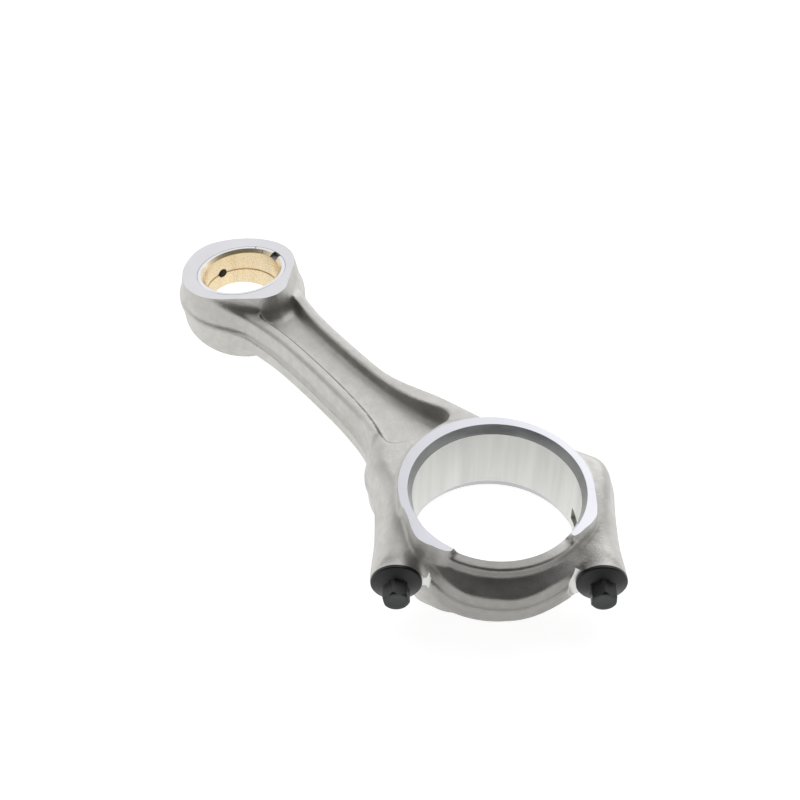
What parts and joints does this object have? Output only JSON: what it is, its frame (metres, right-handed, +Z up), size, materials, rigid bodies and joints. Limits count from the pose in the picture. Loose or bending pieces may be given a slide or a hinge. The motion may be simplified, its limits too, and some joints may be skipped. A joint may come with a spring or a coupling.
{
  "type": "connecting rod",
  "caption": "Diesel connecting rod with an obliquely split big end, bolted bearing cap, I-section shank and tapered small end with a bronze-lined bush.",
  "frame": {"origin": "bottom centre of the bounding box, with the rod lying on its side on the lower thrust face", "axes": "+X from the small end towards the big end, +Z up, parallel to both bore axes"},
  "size_m": [0.2958, 0.1212, 0.04],
  "materials": {
    "forged_steel": "shot-blasted forging with ground faces and bores",
    "cap_steel": "shot-blasted forging with ground faces and bores",
    "bolt_black": "satin black phosphate",
    "bush_bronze": "fine bored bronze lining"
  },
  "bodies": {
    "rod": {"rod_body": "forged_steel", "small_end_bush": "bush_bronze"},
    "cap": {"bearing_cap": "cap_steel"},
    "bolt_near": {"cap_bolt_near": "bolt_black"},
    "bolt_far": {"cap_bolt_far": "bolt_black"}
  },
  "joints": [
    {"name": "cap_lift", "type": "slide", "parent": "rod", "child": "cap", "axis": [0.7837, -0.6211, 0], "range_m": [0, 0.03]},
    {"name": "bolt_near_turn", "type": "hinge", "parent": "cap", "child": "bolt_near", "pos_m": [0.05576, -0.0283, 0.02], "axis": [0.7837, -0.6211, 0], "range_deg": [0, 8642]},
    {"name": "bolt_far_turn", "type": "hinge", "parent": "cap", "child": "bolt_far", "pos_m": [0.10949, 0.03949, 0.02], "axis": [0.7837, -0.6211, 0], "range_deg": [0, 8642]}
  ],
  "couplings": [
    {"joint": "bolt_near_turn", "follows": "cap_lift", "rad_per_m": 5026.5},
    {"joint": "bolt_far_turn", "follows": "cap_lift", "rad_per_m": 5026.5}
  ]
}
